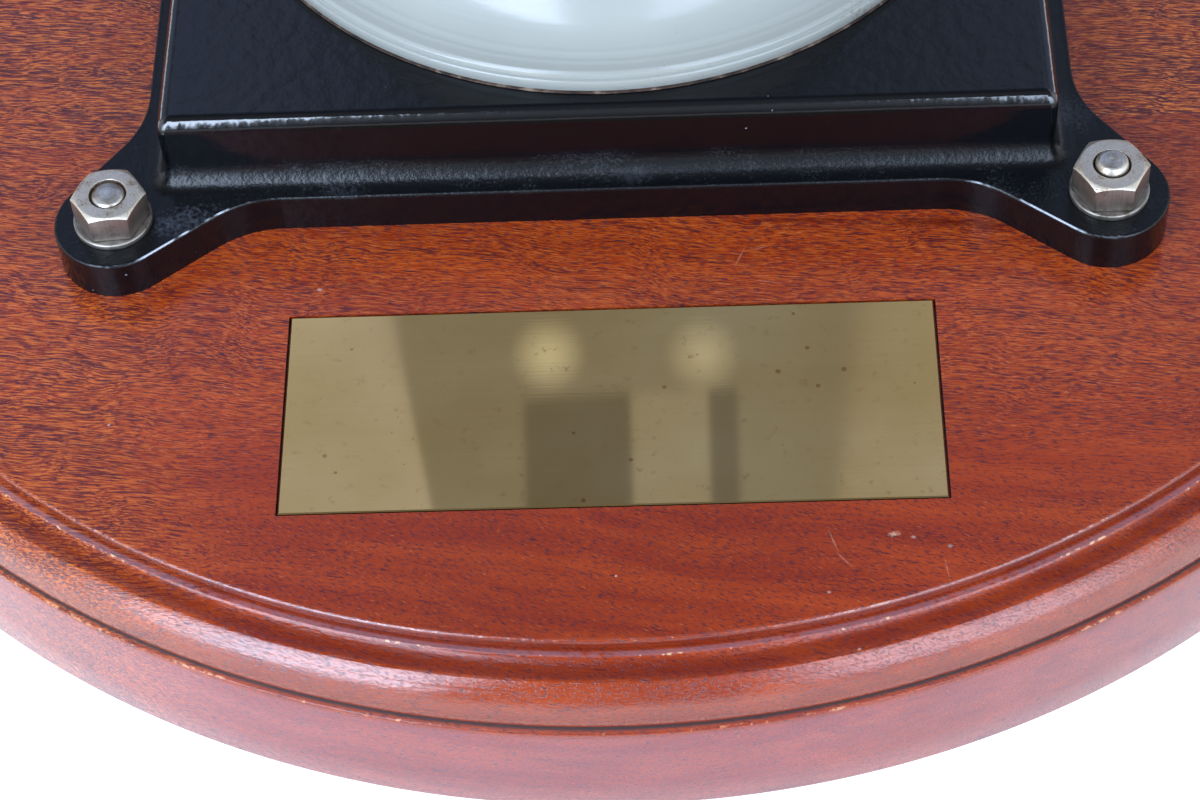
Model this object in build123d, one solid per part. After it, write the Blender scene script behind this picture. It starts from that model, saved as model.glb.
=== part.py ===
"""Base of a model column steam engine: a round moulded wooden plinth, a cast bedplate held by
four studs, and the moulded foot ring on which the column stands. Millimetres, +Z up, the name
plate's side towards -Y, the underside cloth on z = 0."""

import os
from math import cos, hypot, pi, radians, sin, tan

from build123d import *

# Plinth: the edge moulding's members, widths taken inward from the band, heights from the top
plinth_radius = 125.0
plinth_thickness = 24.9
ledge_width = 0.9
ledge_fall = 0.4
quirk_depth = 0.35
quirk_height = 0.45
ovolo_width = 2.55
ovolo_height = 5.9
ovolo_bulge = 1.0
cove_width = 2.8
cove_height = 0.85
cove_hollow = 0.25
step_width = 1.35
step_height = 1.05
riser_lean = 0.5
arris_break = 0.25
foot_arris = 0.2
joint_offset = 38.8

# Underside cloth
cloth_thickness = 0.5
cloth_inset = 2.0

# Name plate
plate_width = 80.0
plate_depth = 30.0
plate_thickness = 1.2
plate_gap = 0.25
plate_to_bed = 14.7
plate_break = 0.15

# Bedplate, set back on the plinth to leave room for the name plate
bed_center_y = 4.3
bed_width = 119.2
bed_depth = 116.2
flange_thickness = 5.8
flange_edge_round = 0.35
flange_land = 0.25
box_height = 16.4
box_corner_round = 1.0
box_top_round = 1.8
box_base_fillet = 2.8
lug_radius = 7.6
lug_overhang = 2.8
lug_flank_angle = 37.5
lug_hollow_radius = 14.0
casting_wall = 5.0
core_corner_round = 6.0

# Holding-down studs, washers and nuts
stud_radius = 2.35
stud_hole_clearance = 0.25
stud_depth_in_wood = 12.0
stud_end_chamfer = 0.4
washer_radius = 5.0
washer_thickness = 0.9
washer_hole_clearance = 0.15
nut_across_flats = 8.3
nut_height = 4.2
nut_corner_chamfer = 0.45
nut_turns = {"front_left": 4.5, "front_right": 0.6, "back_left": 22.0, "back_right": -14.0}
stud_stand_outs = {"front_left": 0.3, "front_right": 1.0, "back_left": 0.7, "back_right": 0.9}

# Column foot, rises measured up from its underside
foot_radius = 51.5
rim_height = 1.7
rim_break = 0.2
step_inset = 0.5
step_rise = 0.7
sweep_inset = 0.4
sweep_lip = 0.2
sweep_height = 14.4
sweep_points = ((0.2, 0.058), (0.525, 0.23), (0.79, 0.49))
neck_wall = 6.5
neck_height = 4.0
bead_height = 3.0
bead_stand_out = 1.8
socket_radius = 32.0
socket_depth = 18.0
seat_width = 5.0
joint_paper_thickness = 0.3
joint_paper_show = 0.15

# Levels and places that follow from the sizes above
plinth_top = cloth_thickness + plinth_thickness
flange_top = plinth_top + flange_thickness
box_top = plinth_top + box_height
box_inset = box_base_fillet + flange_land + flange_edge_round
foot_base = box_top + joint_paper_thickness
foot_height = rim_height + step_rise + sweep_lip + sweep_height + neck_height + bead_height
plate_center_y = bed_center_y - bed_depth / 2 - plate_to_bed - plate_depth / 2


def bulged_arc(start, end, bulge):
    """An arc between two points, its middle off their chord by the bulge, to the right of it."""
    dx = end[0] - start[0]
    dy = end[1] - start[1]
    length = hypot(dx, dy)
    mid_x = (start[0] + end[0]) / 2 + dy / length * bulge
    mid_y = (start[1] + end[1]) / 2 - dx / length * bulge
    return ThreePointArc(start, (mid_x, mid_y), end)


def plinth_blank():
    """The full round of the plinth, turned from its edge profile."""
    quirk_radius = plinth_radius - ledge_width
    ovolo_radius = quirk_radius + quirk_depth
    cove_radius = ovolo_radius - ovolo_width
    step_radius = cove_radius - cove_width
    disc_radius = step_radius - step_width
    step_z = plinth_top - step_height
    cove_z = step_z - cove_height
    ovolo_z = cove_z - ovolo_height
    quirk_z = ovolo_z - quirk_height
    band_z = quirk_z - ledge_fall
    foot_z = cloth_thickness + foot_arris
    edge = [
        Line((0, cloth_thickness), (plinth_radius - foot_arris, cloth_thickness)),
        Line((plinth_radius - foot_arris, cloth_thickness), (plinth_radius, foot_z)),
        Line((plinth_radius, foot_z), (plinth_radius, band_z - arris_break)),
        Line((plinth_radius, band_z - arris_break), (plinth_radius - arris_break, band_z)),
        Line((plinth_radius - arris_break, band_z), (quirk_radius, quirk_z)),
        Line((quirk_radius, quirk_z), (ovolo_radius, ovolo_z)),
        bulged_arc((ovolo_radius, ovolo_z), (cove_radius, cove_z), ovolo_bulge),
        bulged_arc((cove_radius, cove_z), (step_radius, step_z), -cove_hollow),
        Line((step_radius, step_z), (disc_radius + riser_lean, step_z)),
        Line((disc_radius + riser_lean, step_z), (disc_radius, plinth_top - arris_break)),
        Line((disc_radius, plinth_top - arris_break), (disc_radius - arris_break, plinth_top)),
        Line((disc_radius - arris_break, plinth_top), (0, plinth_top)),
        Line((0, plinth_top), (0, cloth_thickness)),
    ]
    return revolve(Plane.XZ * make_face(Wire(edge)), Axis.Z)


def board(blank, near_y, far_y):
    """The part of the round between two straight glue joints."""
    width = far_y - near_y
    cutter = Pos(0, near_y + width / 2, plinth_top / 2) * Box(3 * plinth_radius, width, 2 * plinth_top)
    return blank & cutter


def lug_centers():
    """Where the studs stand, by corner."""
    x = bed_width / 2 + lug_overhang
    y = bed_depth / 2 + lug_overhang
    return {
        "front_left": (-x, bed_center_y - y),
        "front_right": (x, bed_center_y - y),
        "back_left": (-x, bed_center_y + y),
        "back_right": (x, bed_center_y + y),
    }


def corner_path():
    """One corner of the flange from its side round to its end: hollow, straight flank, round lug,
    flank, hollow. Each half is worked out along the flange's edge and out from it, measured from
    the lug's centre."""
    angle = radians(lug_flank_angle)
    leave = (lug_radius * sin(angle), lug_radius * cos(angle))
    drop = lug_overhang + leave[1] - lug_hollow_radius * (1 - cos(angle))
    touch = (leave[0] + drop / tan(angle), leave[1] - drop)
    center = (touch[0] + lug_hollow_radius * sin(angle), lug_hollow_radius - lug_overhang)
    middle = (
        center[0] - lug_hollow_radius * sin(angle / 2),
        center[1] - lug_hollow_radius * cos(angle / 2),
    )
    start = (center[0], -lug_overhang)
    half = (start, middle, touch, leave)
    lug_x = bed_width / 2 + lug_overhang
    lug_y = bed_depth / 2 + lug_overhang
    side = [(lug_x + out, lug_y - along) for along, out in half]
    end = [(lug_x - along, lug_y + out) for along, out in half]
    crown = (lug_x + lug_radius * cos(pi / 4), lug_y + lug_radius * sin(pi / 4))
    return [
        (side[0], side[1], side[2]),
        (side[2], side[3]),
        (side[3], crown, end[3]),
        (end[3], end[2]),
        (end[2], end[1], end[0]),
    ]


def flange_outline():
    """The bedplate's flange in plan, centred on the origin."""
    stretches = []
    for sx, sy in ((1, 1), (-1, 1), (-1, -1), (1, -1)):
        corner = [tuple((sx * x, sy * y) for x, y in stretch) for stretch in corner_path()]
        if sx * sy < 0:
            corner = [tuple(reversed(stretch)) for stretch in reversed(corner)]
        stretches += corner
    edges = []
    for place, stretch in enumerate(stretches):
        edges.append(ThreePointArc(*stretch) if len(stretch) == 3 else Line(*stretch))
        start = stretches[(place + 1) % len(stretches)][0]
        if hypot(start[0] - stretch[-1][0], start[1] - stretch[-1][1]) > 0.01:
            edges.append(Line(stretch[-1], start))
    return make_face(Wire(edges))


def bedplate():
    """A cored casting: lugged flange, raised box with a hollow fillet round its base."""
    flange = Pos(0, 0, plinth_top) * extrude(flange_outline(), flange_thickness)
    rim = flange.edges().filter_by_position(Axis.Z, flange_top - 0.01, flange_top + 0.01)
    flange = fillet(rim, flange_edge_round)
    box_plan = RectangleRounded(
        bed_width - 2 * box_inset, bed_depth - 2 * box_inset, box_corner_round
    )
    box = Pos(0, 0, plinth_top) * extrude(box_plan, box_height)
    crown = box.edges().filter_by_position(Axis.Z, box_top - 0.01, box_top + 0.01)
    box = fillet(crown, box_top_round)
    casting = flange + box
    reach_x = bed_width / 2 - box_inset
    reach_y = bed_depth / 2 - box_inset
    base = [
        edge
        for edge in casting.edges().filter_by_position(Axis.Z, flange_top - 0.01, flange_top + 0.01)
        if abs(edge.center().X) < reach_x + 0.1 and abs(edge.center().Y) < reach_y + 0.1
    ]
    casting = fillet(base, box_base_fillet)
    core_plan = RectangleRounded(
        bed_width - 2 * box_inset - 2 * casting_wall,
        bed_depth - 2 * box_inset - 2 * casting_wall,
        core_corner_round,
    )
    core = Pos(0, 0, plinth_top) * extrude(core_plan, box_height - casting_wall)
    casting = Pos(0, bed_center_y, 0) * (casting - core)
    for x, y in lug_centers().values():
        hole = Pos(x, y, plinth_top + flange_thickness / 2) * Cylinder(
            stud_radius + stud_hole_clearance, 2 * flange_thickness
        )
        casting = casting - hole
    return casting


def stud(stand_out):
    """A plain turned stud, its two ends chamfered, standing on its lower end."""
    length = stud_depth_in_wood + flange_thickness + washer_thickness + nut_height + stand_out
    rod = Pos(0, 0, length / 2) * Cylinder(stud_radius, length)
    return chamfer(rod.edges().filter_by(GeomType.CIRCLE), stud_end_chamfer)


def washer():
    """A flat washer lying on the flange."""
    disc = Pos(0, 0, washer_thickness / 2) * Cylinder(washer_radius, washer_thickness)
    disc = chamfer(disc.edges().group_by(Axis.Z)[-1], 0.15)
    hole = Cylinder(stud_radius + washer_hole_clearance, 4 * washer_thickness)
    return disc - hole


def nut(turn):
    """A full hexagon nut, its upper corners turned off."""
    across_corners = nut_across_flats / cos(pi / 6)
    hexagon = RegularPolygon(nut_across_flats / 2, 6, major_radius=False)
    body = extrude(hexagon, nut_height)
    turned = Pos(0, 0, nut_height / 2) * Cylinder(across_corners / 2, nut_height)
    crown = turned.edges().group_by(Axis.Z)[-1]
    turned = chamfer(crown, nut_corner_chamfer, nut_corner_chamfer / tan(radians(30)))
    hole = Cylinder(stud_radius, 4 * nut_height)
    return Rot(0, 0, turn) * ((body & turned) - hole)


def column_foot():
    """The moulded foot ring: rim, small step, hollow sweep up to a beaded neck, and a socket."""
    seat_radius = socket_radius - seat_width
    socket_floor = foot_height - socket_depth
    neck_radius = socket_radius + neck_wall
    step_radius = foot_radius - step_inset
    sweep_radius = step_radius - sweep_inset
    step_z = rim_height + step_rise
    sweep_z = step_z + sweep_lip
    neck_z = sweep_z + sweep_height
    bead_z = neck_z + neck_height
    sweep = [(sweep_radius, sweep_z)]
    for inward, upward in sweep_points:
        x = sweep_radius - inward * (sweep_radius - neck_radius)
        sweep.append((x, sweep_z + upward * sweep_height))
    sweep.append((neck_radius, neck_z))
    edge = [
        Line((seat_radius, 0), (foot_radius, 0)),
        Line((foot_radius, 0), (foot_radius, rim_height - rim_break)),
        Line((foot_radius, rim_height - rim_break), (foot_radius - rim_break, rim_height)),
        Line((foot_radius - rim_break, rim_height), (step_radius, rim_height)),
        Line((step_radius, rim_height), (step_radius, step_z)),
        Line((step_radius, step_z), (sweep_radius, sweep_z)),
        Spline(*sweep, tangents=[(-1, 0.22), (-0.12, 1)]),
        Line((neck_radius, neck_z), (neck_radius, bead_z)),
        ThreePointArc(
            (neck_radius, bead_z),
            (neck_radius + bead_stand_out, bead_z + bead_height / 2),
            (neck_radius, foot_height),
        ),
        Line((neck_radius, foot_height), (socket_radius, foot_height)),
        Line((socket_radius, foot_height), (socket_radius, socket_floor)),
        Line((socket_radius, socket_floor), (seat_radius, socket_floor)),
        Line((seat_radius, socket_floor), (seat_radius, 0)),
    ]
    ring = revolve(Plane.XZ * make_face(Wire(edge)), Axis.Z)
    return Pos(0, bed_center_y, foot_base) * ring


def build():
    parts = {}
    blank = plinth_blank()
    stud_base = plinth_top - stud_depth_in_wood
    front = board(blank, -2 * plinth_radius, -joint_offset)
    middle = board(blank, -joint_offset, joint_offset)
    back = board(blank, joint_offset, 2 * plinth_radius)
    recess = Pos(0, plate_center_y, plinth_top) * Box(
        plate_width + 2 * plate_gap, plate_depth + 2 * plate_gap, 2 * plate_thickness
    )
    front = front - recess
    for corner, (x, y) in lug_centers().items():
        parts["stud_" + corner] = Pos(x, y, stud_base) * stud(stud_stand_outs[corner])
        parts["washer_" + corner] = Pos(x, y, flange_top) * washer()
        parts["nut_" + corner] = Pos(x, y, flange_top + washer_thickness) * nut(nut_turns[corner])
        if y < 0:
            front = front - parts["stud_" + corner]
        else:
            back = back - parts["stud_" + corner]
    parts["plinth_front_board"] = front
    parts["plinth_middle_board"] = middle
    parts["plinth_back_board"] = back
    cloth_radius = plinth_radius - cloth_inset
    parts["underside_baize"] = Pos(0, 0, cloth_thickness / 2) * Cylinder(cloth_radius, cloth_thickness)
    plate = Pos(0, plate_center_y, plinth_top - plate_thickness / 2) * Box(
        plate_width, plate_depth, plate_thickness
    )
    parts["name_plate"] = chamfer(plate.edges().group_by(Axis.Z)[-1], plate_break)
    parts["bedplate"] = bedplate()
    paper = Cylinder(foot_radius + joint_paper_show, joint_paper_thickness)
    paper = paper - Cylinder(socket_radius - seat_width, 2 * joint_paper_thickness)
    parts["foot_joint"] = Pos(0, bed_center_y, box_top + joint_paper_thickness / 2) * paper
    parts["column_foot"] = column_foot()
    return parts


os.makedirs("parts", exist_ok=True)
for name, shape in build().items():
    export_step(shape, "parts/" + name + ".step")
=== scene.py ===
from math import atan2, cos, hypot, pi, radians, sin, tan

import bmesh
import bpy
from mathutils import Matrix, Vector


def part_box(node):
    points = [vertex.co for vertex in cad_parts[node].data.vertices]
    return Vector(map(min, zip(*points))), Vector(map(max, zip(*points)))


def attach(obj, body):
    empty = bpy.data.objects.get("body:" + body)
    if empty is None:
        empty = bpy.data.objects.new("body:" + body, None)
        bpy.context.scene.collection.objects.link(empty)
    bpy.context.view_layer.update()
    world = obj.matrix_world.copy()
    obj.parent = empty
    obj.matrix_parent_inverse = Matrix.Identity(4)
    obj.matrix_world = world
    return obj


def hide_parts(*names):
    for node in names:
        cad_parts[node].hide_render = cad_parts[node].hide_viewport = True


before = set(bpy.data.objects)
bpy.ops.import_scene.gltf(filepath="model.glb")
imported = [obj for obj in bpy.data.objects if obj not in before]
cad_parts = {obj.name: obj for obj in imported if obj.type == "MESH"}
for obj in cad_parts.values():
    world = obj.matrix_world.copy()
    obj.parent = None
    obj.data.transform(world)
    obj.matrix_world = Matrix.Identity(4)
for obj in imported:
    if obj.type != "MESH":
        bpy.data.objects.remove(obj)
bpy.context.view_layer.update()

# The base of a model column steam engine: a round french polished plinth of three mahogany
# boards, a blank brass plate let into it, a black enamelled cast bedplate held by four studs,
# and the pale enamelled foot of the column. Blender works in metres; the sizes written below
# are millimetres, and MM turns them into metres.

MM = 0.001

# Levels and radii that the CAD part sets
plinth_low, plinth_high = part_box("plinth_middle_board")
plinth_under = plinth_low.z / MM
plinth_top = plinth_high.z / MM
plinth_radius = plinth_high.x / MM
joint_y = plinth_high.y / MM
flange_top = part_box("washer_front_left")[0].z / MM
foot_low, foot_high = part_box("column_foot")
foot_base = foot_low.z / MM
foot_top = foot_high.z / MM
foot_radius = (foot_high.x - foot_low.x) / 2 / MM
bed_y = (foot_low.y + foot_high.y) / 2 / MM
bed_reach = 58.1                # half the flange's depth between its lugs
plate_gap = 0.25                # round the brass plate in its sinking
sinking_depth = 1.2
washer_thickness = 0.9
nut_height = 4.2

# The plinth's edge moulding: radii, and levels measured from the top
disc_radius = plinth_radius - 7.25
ledge_radius = plinth_radius - 5.9
bead_radius = plinth_radius - 3.1
ovolo_radius = plinth_radius - 0.55
quirk_radius = plinth_radius - 0.9
step_level = plinth_top - 1.05
bead_level = plinth_top - 1.9
ovolo_level = plinth_top - 7.8
quirk_level = plinth_top - 8.25
band_level = plinth_top - 8.65


# ---------------------------------------------------------------------------- camera
camera_place = Vector((11.80, -321.70, 339.82)) * MM
right = Vector((0.99906, -0.00174, -0.04330))
up = Vector((0.02758, 0.79639, 0.60415))
ahead = Vector((-0.03343, 0.60478, -0.79569))
aim = Matrix((right, up, -ahead)).transposed().to_4x4()
camera_data = bpy.data.cameras.new("camera")
camera_data.sensor_width = 36
camera_data.sensor_fit = "HORIZONTAL"
camera_data.lens = 97.26
camera_data.clip_start = 0.01
camera = bpy.data.objects.new("camera", camera_data)
camera.matrix_world = Matrix.Translation(camera_place) @ aim
bpy.context.scene.collection.objects.link(camera)
bpy.context.scene.camera = camera


# ---------------------------------------------------------------------------- material helpers
def paint(code):
    """An sRGB hex colour as the linear colour that a shader socket takes."""
    channels = []
    for start in (1, 3, 5):
        value = int(code[start:start + 2], 16) / 255
        channels.append(value / 12.92 if value <= 0.04045 else ((value + 0.055) / 1.055) ** 2.4)
    return (*channels, 1.0)


def add(tree, kind, links=None, stops=None, **settings):
    """Adds a node with its settings; links maps a socket to a value or to another node."""
    made = tree.nodes.new("ShaderNode" + kind)
    for key, value in settings.items():
        setattr(made, key, value)
    if stops:
        ramp = made.color_ramp.elements
        while len(ramp) < len(stops):
            ramp.new(1.0)
        for element, (place, colour) in zip(ramp, stops):
            element.position = place
            element.color = colour
    for key, value in (links or {}).items():
        if isinstance(value, bpy.types.Node):
            value = value.outputs[2 if value.bl_idname == "ShaderNodeMix" else 0]
        if isinstance(value, bpy.types.NodeSocket):
            tree.links.new(value, made.inputs[key])
        else:
            made.inputs[key].default_value = value
    return made


def start_material(name):
    """An empty material with its shader, and the object's own coordinates."""
    material = bpy.data.materials.new(name)
    material.use_nodes = True
    tree = material.node_tree
    tree.nodes.clear()
    output = tree.nodes.new("ShaderNodeOutputMaterial")
    shader = tree.nodes.new("ShaderNodeBsdfPrincipled")
    tree.links.new(shader.outputs[0], output.inputs[0])
    place = add(tree, "TexCoord").outputs["Object"]
    return material, tree, shader, place


def cell(along, across, deep=None):
    """The mapping scale that makes one grain of noise this many millimetres in X, Y and Z. A grain
    that is as wide as it is long has a plain scale instead, written as grains in a millimetre."""
    return (1 / along / MM, 1 / across / MM, 1 / (deep or across) / MM)


def span(tree, across, along):
    """The length of the line that goes so far one way and so far the other."""
    both = add(tree, "CombineXYZ", {0: across, 1: along})
    return add(tree, "VectorMath", {0: both}, operation="LENGTH").outputs["Value"]


def glaze(tree, colour, mask, strength, code):
    """Lays a colour over another where a mask shows."""
    share = add(tree, "Math", {0: mask, 1: strength}, operation="MULTIPLY")
    return add(tree, "Mix", {0: share, 6: colour, 7: paint(code)}, data_type="RGBA")


def blotch(tree, place, colour, centre, size, turn, strength, code):
    """Lays a small ragged mark over a colour. Its centre and half sizes are in millimetres, and it
    is turned by degrees."""
    local = add(tree, "Mapping", {"Vector": place, "Location": [value * MM for value in centre],
                                  "Rotation": (0, 0, radians(turn)),
                                  "Scale": [value * MM for value in size]}, vector_type="TEXTURE")
    ragged = add(tree, "TexNoise",
                 {"Vector": place, "Scale": 1.9 / MM, "Detail": 2.0, "Roughness": 0.6})
    reach = add(tree, "VectorMath", {0: local}, operation="LENGTH").outputs["Value"]
    edge = add(tree, "Math", {0: ragged, 1: 1.6, 2: reach}, operation="MULTIPLY_ADD")
    mask = add(tree, "MapRange", {"Value": edge, "From Min": 1.85, "From Max": 1.15})
    return glaze(tree, colour, mask, strength, code)


# ---------------------------------------------------------------------------- materials
def french_polished_mahogany(name, shift, slope, figure_left, figure_right, slanted, marks=()):
    """Mahogany cut on the quarter, stained and french polished. Under a clear gloss lies orange
    brown wood with purple brown pore dashes along the grain, dense where the figure is strong, and
    red brown wood with fine dark and pale specks elsewhere. Old wax fills the quirk, and the
    arrises are rubbed pale. Painted shade darkens the moulding under the top arris, in the hollow,
    in its cut lines, below the ovolo and in the quirk's groove, and a painted sheen lies on the
    band. shift gives a board a piece of figure of its own, slope turns its grain by degrees, and
    figure_left and figure_right are how strong the figure is at its ends. slanted is how much of
    its front has slanting specks, and marks are its nicks and scratches."""
    material, tree, shader, place = start_material(name)
    x, y, z = add(tree, "SeparateXYZ", {0: place}).outputs
    moved = add(tree, "Mapping",
                {"Vector": place, "Location": shift, "Rotation": (0, 0, radians(slope))})
    drift = add(tree, "TexNoise", {"Vector": moved, "Scale": 0.026 / MM, "Detail": 3.0})
    sway = add(tree, "MapRange", {"Value": drift, "From Min": 0.25, "From Max": 0.75,
                                  "To Min": -2.6 * MM, "To Max": 2.6 * MM})
    grain = add(tree, "VectorMath", {0: moved, 1: add(tree, "CombineXYZ", {1: sway, 2: sway})},
                operation="ADD")

    # growth rings run through the boards as bands about 3 mm wide and 55 mm long
    rings = add(tree, "TexNoise",
                {"Vector": add(tree, "Mapping", {"Vector": grain, "Scale": cell(55, 3.0)}),
                 "Scale": 1.0, "Detail": 4.0, "Roughness": 0.6})
    colour = add(tree, "ValToRGB", {0: rings},
                 stops=[(0.30, paint("#8b290e")), (0.44, paint("#97310e")),
                        (0.56, paint("#a23910")), (0.72, paint("#ad4012"))])
    clouds = add(tree, "TexNoise", {"Vector": moved, "Scale": 0.024 / MM, "Detail": 2.0})
    shade = add(tree, "MapRange", {"Value": clouds, "From Min": 0.32, "From Max": 0.68,
                                   "To Min": 0.90, "To Max": 1.08})
    colour = add(tree, "VectorMath", {0: colour, 3: shade}, operation="SCALE")

    # figure: dark dashes about 3 mm long and 0.2 mm wide, gathered in streaks, denser at the
    # board's ends
    left_end = add(tree, "MapRange",
                   {"Value": x, "From Min": -40 * MM, "From Max": -66 * MM, "To Max": figure_left},
                   interpolation_type="SMOOTHSTEP")
    right_end = add(tree, "MapRange",
                    {"Value": x, "From Min": 40 * MM, "From Max": 75 * MM, "To Max": figure_right},
                    interpolation_type="SMOOTHSTEP")
    front_edge = add(tree, "MapRange",
                     {"Value": y, "From Min": -96 * MM, "From Max": -74 * MM, "To Max": 0.42},
                     interpolation_type="SMOOTHSTEP")
    figure = add(tree, "Math", {0: left_end, 1: right_end}, operation="ADD")
    figure = add(tree, "Math", {0: figure, 1: front_edge}, operation="MAXIMUM")
    streaks = add(tree, "TexNoise",
                  {"Vector": add(tree, "Mapping", {"Vector": grain, "Scale": cell(26, 2.2)}),
                   "Scale": 1.0, "Detail": 2.0})
    dashes = add(tree, "TexNoise",
                 {"Vector": add(tree, "Mapping", {"Vector": grain, "Scale": cell(3.2, 0.18)}),
                  "Scale": 1.0, "Detail": 3.0, "Roughness": 0.62, "Distortion": 0.2})
    level = add(tree, "Math", {0: streaks, 1: 0.25, 2: dashes}, operation="MULTIPLY_ADD")
    level = add(tree, "Math", {0: figure, 1: 0.115, 2: level}, operation="MULTIPLY_ADD")
    dark = add(tree, "MapRange", {"Value": level, "From Min": 0.725, "From Max": 0.80},
               interpolation_type="SMOOTHSTEP")
    light = add(tree, "MapRange", {"Value": dashes, "From Min": 0.52, "From Max": 0.38})
    light = add(tree, "Math", {0: light, 1: figure}, operation="MULTIPLY")
    colour = glaze(tree, colour, light, 0.85, "#da762c")
    colour = glaze(tree, colour, dark, 0.80, "#48191c")

    # pores: dark dashes about 1 mm long and 0.14 mm wide; others hold pale polish
    pores = add(tree, "TexNoise",
                {"Vector": add(tree, "Mapping", {"Vector": grain, "Scale": cell(1.3, 0.17)}),
                 "Scale": 1.0, "Detail": 2.0, "Roughness": 0.5})
    if slanted:
        # at the front the cut runs across the fibres, so the specks slant and are shorter
        cross_cut = add(tree, "Mapping", {"Vector": moved, "Rotation": (0, 0, radians(20))})
        cross_cut = add(tree, "Mapping", {"Vector": cross_cut, "Scale": cell(0.85, 0.21)})
        specks = add(tree, "TexNoise", {"Vector": cross_cut, "Scale": 1.0, "Detail": 3.0,
                                        "Roughness": 0.6, "Distortion": 0.3})
        front = add(tree, "MapRange",
                    {"Value": y, "From Min": -88 * MM, "From Max": -100 * MM, "To Max": slanted},
                    interpolation_type="SMOOTHSTEP")
        pores = add(tree, "Mix", {0: front, 2: pores, 3: specks}, data_type="FLOAT").outputs[0]
    sunk = add(tree, "MapRange", {"Value": pores, "From Min": 0.54, "From Max": 0.62})
    filled = add(tree, "MapRange", {"Value": pores, "From Min": 0.37, "From Max": 0.29})
    colour = glaze(tree, colour, sunk, 0.74, "#3d222c")
    colour = glaze(tree, colour, filled, 0.42, "#cc7f52")

    # the turned edge: wax and dust in the quirk, a grey veil on the step, pale rubbed arrises, and
    # painted shade under the top arris, in the hollow, in the cut lines, below the ovolo and in the
    # quirk's groove
    radius = span(tree, x, y)
    crumbs = add(tree, "TexNoise",
                 {"Vector": place, "Scale": 1.1 / MM, "Detail": 3.0, "Roughness": 0.6})
    runs = add(tree, "TexNoise", {"Vector": place, "Scale": 0.075 / MM, "Detail": 3.0})
    broken = add(tree, "Math", {0: crumbs, 1: runs}, operation="ADD")
    # each line: its radius, its drop below the top, how wide it is, how broken, how strong
    for ring, drop, width, low, high, strength, code in (
        (117.95, 0.60, 0.70, -1.0, 0.00, 0.55, "#5c1608"),      # painted shade under the top arris
        (120.60, 1.62, 1.60, -1.0, 0.00, 0.45, "#541410"),      # painted shade in the hollow
        (118.75, 1.05, 0.45, 0.70, 0.92, 0.34, "#8a7c88"),      # grey mauve veil on the step
        (119.10, 1.10, 0.22, 1.16, 1.22, 0.85, "#dfae84"),      # rubbed edge of the step
        (117.66, 0.00, 0.22, 1.10, 1.20, 0.70, "#dca58e"),      # rubbed top arris
        (121.90, 1.98, 0.20, 0.95, 1.15, 0.35, "#48130d"),      # line cut above the ovolo, painted dark as the shade in the cut
        (122.16, 3.00, 0.13, 0.90, 1.05, 0.45, "#4c160d"),      # turning mark on the ovolo, painted dark as the shade in its groove
        (124.40, 6.60, 2.20, -1.0, 0.00, 0.32, "#6e1a08"),      # painted shade below the ovolo
        (124.22, 8.15, 0.62, 0.30, 0.60, 0.93, "#1d1718"),      # wax in the quirk, and painted shade in its groove
        (124.20, 8.05, 0.26, 1.15, 1.22, 0.50, "#918f8c"),      # dust caught in the wax
        (124.88, 8.72, 0.24, 1.13, 1.20, 0.80, "#d99467"),      # rubbed arris of the band
    ):
        off = add(tree, "Math", {0: radius, 1: ring * MM}, operation="SUBTRACT")
        fall = add(tree, "Math", {0: z, 1: (plinth_top - drop) * MM}, operation="SUBTRACT")
        gap = span(tree, off, fall)
        inside = add(tree, "MapRange",
                     {"Value": gap, "From Min": width * MM, "From Max": 0.45 * width * MM})
        edge_marks_and_painted_shade = add(tree, "MapRange", {"Value": broken, "From Min": low, "From Max": high})
        edge_marks_and_painted_shade = add(tree, "Math", {0: inside, 1: edge_marks_and_painted_shade}, operation="MULTIPLY")
        colour = glaze(tree, colour, edge_marks_and_painted_shade, strength, code)

    # a milky bloom in the polish of the upright band, with a painted sheen in it that stands for
    # the white floor's reflection
    below = add(tree, "MapRange", {"Value": z, "From Min": (band_level - 0.1) * MM,
                                   "From Max": (band_level - 1.2) * MM})
    bloom = add(tree, "MapRange",
                {"Value": runs, "From Min": 0.30, "From Max": 0.70, "To Min": 0.75, "To Max": 1.0})
    bloom = add(tree, "Math", {0: below, 1: bloom}, operation="MULTIPLY")
    colour = glaze(tree, colour, bloom, 0.12, "#cbb0d0")

    # pin-head nicks, well apart
    nicks = add(tree, "TexVoronoi", {"Vector": place, "Scale": 0.17 / MM})
    sparse = add(tree, "TexNoise", {"Vector": place, "Scale": 0.06 / MM, "Detail": 1.0})
    reach = add(tree, "MapRange",
                {"Value": sparse, "From Min": 0.60, "From Max": 0.78, "To Max": 0.075})
    nick = add(tree, "Math", {0: nicks.outputs["Distance"], 1: reach}, operation="LESS_THAN")
    colour = glaze(tree, colour, nick, 0.7, "#e0bfb4")
    for mark in marks:
        colour = blotch(tree, place, colour, *mark)
    tree.links.new(colour.outputs[2], shader.inputs["Base Color"])

    # the polish has sunk a little into the grain, so a reflection breaks into flecks
    tooth = add(tree, "TexNoise",
                {"Vector": add(tree, "Mapping", {"Vector": grain, "Scale": cell(1.6, 0.32)}),
                 "Scale": 1.0, "Detail": 3.0, "Roughness": 0.6})
    relief = add(tree, "Math", {0: sunk, 1: -0.25, 2: tooth}, operation="MULTIPLY_ADD")
    bump = add(tree, "Bump", {"Height": relief, "Strength": 0.9, "Distance": 0.04 * MM})
    tree.links.new(bump.outputs[0], shader.inputs["Normal"])
    gloss = add(tree, "MapRange",
                {"Value": runs, "From Min": 0.3, "From Max": 0.7, "To Min": 0.10, "To Max": 0.17})
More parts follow.
